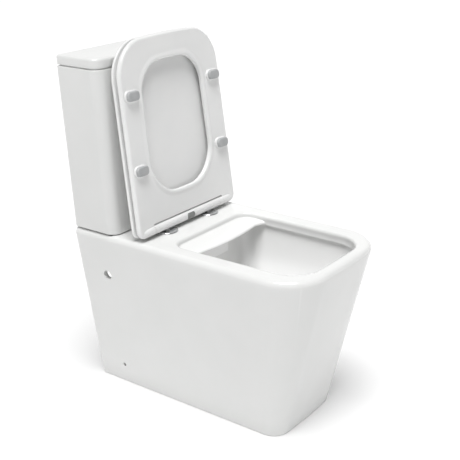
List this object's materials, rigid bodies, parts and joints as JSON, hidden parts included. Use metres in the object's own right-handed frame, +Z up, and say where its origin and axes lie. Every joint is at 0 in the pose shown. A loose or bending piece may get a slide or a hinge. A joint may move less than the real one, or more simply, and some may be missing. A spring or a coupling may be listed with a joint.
{
  "type": "close coupled toilet",
  "caption": "Back-to-wall close coupled toilet with tapered skirted pan, rimless bowl, slim cistern, dual flush, and a thin soft-close quick-release seat.",
  "frame": {"origin": "on the floor, in the middle of the footprint between the wall plane and the front of the pan", "axes": "+Z up, -Y out of the front of the pan, +Y to the wall, +X to the right seen from the front"},
  "size_m": [0.408, 0.64, 0.8687],
  "materials": {
    "ceramic": "smooth glossy white glaze",
    "seat_plastic": "glossy white moulded thermoset",
    "buffer_grey": "soft matt grey",
    "chrome": "polished chrome",
    "steel": "satin stainless steel",
    "spring_steel": "drawn spring wire",
    "rubber": "matt black rubber",
    "white_plastic": "satin white moulded plastic",
    "grey_plastic": "satin grey moulded plastic"
  },
  "bodies": {
    "base": {"pan_deck": "ceramic", "pan_skirt": "ceramic", "pan_bowl": "ceramic", "pan_trap": "ceramic", "cistern": "ceramic", "cistern_gasket": "rubber", "cistern_bolts": "steel", "cistern_bolt_washers": "rubber", "cistern_bolt_plates": "steel", "cistern_wing_nuts": "white_plastic", "cistern_pads": "rubber", "flush_valve_body": "white_plastic", "flush_valve_washer": "rubber", "flush_valve_nut": "white_plastic", "flush_lever_pin": "steel", "fill_valve_body": "white_plastic", "fill_valve_washer": "rubber", "fill_valve_nut": "white_plastic", "fill_valve_head": "white_plastic", "fill_lever_pin": "steel", "hinge_discs": "chrome", "hinge_posts": "steel", "seat_studs": "steel", "seat_stud_sleeves": "rubber", "seat_stud_nuts": "white_plastic"},
    "tank_lid": {"cistern_lid": "ceramic", "button_bezel": "chrome", "button_nut": "white_plastic", "full_button_spring": "spring_steel", "half_button_spring": "spring_steel"},
    "full_button": {"full_flush_button": "chrome", "full_push_rod": "grey_plastic"},
    "half_button": {"half_flush_button": "chrome", "half_push_rod": "grey_plastic"},
    "flush_tube": {"overflow_tube": "white_plastic", "flush_seal": "rubber"},
    "full_lever": {"full_flush_lever": "grey_plastic"},
    "half_lever": {"half_flush_lever": "grey_plastic"},
    "float": {"fill_float": "grey_plastic", "float_link": "steel"},
    "float_lever": {"fill_lever": "grey_plastic"},
    "hinge_carrier": {"hinge_housing": "seat_plastic", "lid_damper": "grey_plastic", "ring_damper": "grey_plastic", "release_spring": "spring_steel"},
    "release": {"release_button": "buffer_grey"},
    "left_latch": {"latch_bar_left": "steel"},
    "right_latch": {"latch_bar_right": "steel"},
    "lid": {"seat_lid": "seat_plastic", "lid_bumpers": "buffer_grey", "lid_damper_shaft": "steel"},
    "ring": {"seat_ring": "seat_plastic", "ring_bumpers": "buffer_grey", "ring_damper_shaft": "steel"}
  },
  "joints": [
    {"name": "tank_lid_lift", "type": "slide", "parent": "base", "child": "tank_lid", "axis": [0, 0, 1], "range_m": [0, 0.06]},
    {"name": "full_button_press", "type": "slide", "parent": "tank_lid", "child": "full_button", "axis": [0, 0, -1], "range_m": [0, 0.007], "stiffness_N_per_m": 300, "springref_m": -0.004, "deforming": ["full_button_spring"]},
    {"name": "half_button_press", "type": "slide", "parent": "tank_lid", "child": "half_button", "axis": [0, 0, -1], "range_m": [0, 0.007], "stiffness_N_per_m": 300, "springref_m": -0.004, "deforming": ["half_button_spring"]},
    {"name": "flush_tube_lift", "type": "slide", "parent": "base", "child": "flush_tube", "axis": [0, 0, 1], "range_m": [0, 0.0072]},
    {"name": "full_lever_tip", "type": "hinge", "parent": "base", "child": "full_lever", "pos_m": [0.0155, 0.2765, 0.637], "axis": [1, 0, 0], "range_deg": [0, 23]},
    {"name": "half_lever_tip", "type": "hinge", "parent": "base", "child": "half_lever", "pos_m": [-0.0155, 0.2765, 0.637], "axis": [1, 0, 0], "range_deg": [0, 23]},
    {"name": "float_rise", "type": "slide", "parent": "base", "child": "float", "axis": [0, 0, 1], "range_m": [0, 0.012]},
    {"name": "float_lever_tip", "type": "hinge", "parent": "base", "child": "float_lever", "pos_m": [-0.13, 0.2585, 0.676], "axis": [0, -1, 0], "range_deg": [0, 23]},
    {"name": "seat_lift_off", "type": "slide", "parent": "base", "child": "hinge_carrier", "axis": [0, 0, 1], "range_m": [0, 0.03]},
    {"name": "release_press", "type": "slide", "parent": "hinge_carrier", "child": "release", "axis": [0, 1, 0], "range_m": [0, 0.003], "stiffness_N_per_m": 250, "springref_m": -0.003, "deforming": ["release_spring"]},
    {"name": "left_latch_draw", "type": "slide", "parent": "hinge_carrier", "child": "left_latch", "axis": [1, 0, 0], "range_m": [0, 0.003]},
    {"name": "right_latch_draw", "type": "slide", "parent": "hinge_carrier", "child": "right_latch", "axis": [-1, 0, 0], "range_m": [0, 0.003]},
    {"name": "lid_close", "type": "hinge", "parent": "hinge_carrier", "child": "lid", "pos_m": [0, 0.122, 0.4385], "axis": [1, 0, 0], "range_deg": [0, 97.4]},
    {"name": "ring_close", "type": "hinge", "parent": "lid", "child": "ring", "pos_m": [0, 0.122, 0.4385], "axis": [-1, 0, 0], "range_deg": [-97.4, 0]}
  ],
  "couplings": [
    {"joint": "flush_tube_lift", "follows": "full_button_press", "ratio": 1},
    {"joint": "full_lever_tip", "follows": "full_button_press", "rad_per_m": 57.143},
    {"joint": "half_lever_tip", "follows": "half_button_press", "rad_per_m": 57.143},
    {"joint": "float_lever_tip", "follows": "float_rise", "rad_per_m": 33.333},
    {"joint": "left_latch_draw", "follows": "release_press", "ratio": 1},
    {"joint": "right_latch_draw", "follows": "release_press", "ratio": 1}
  ]
}
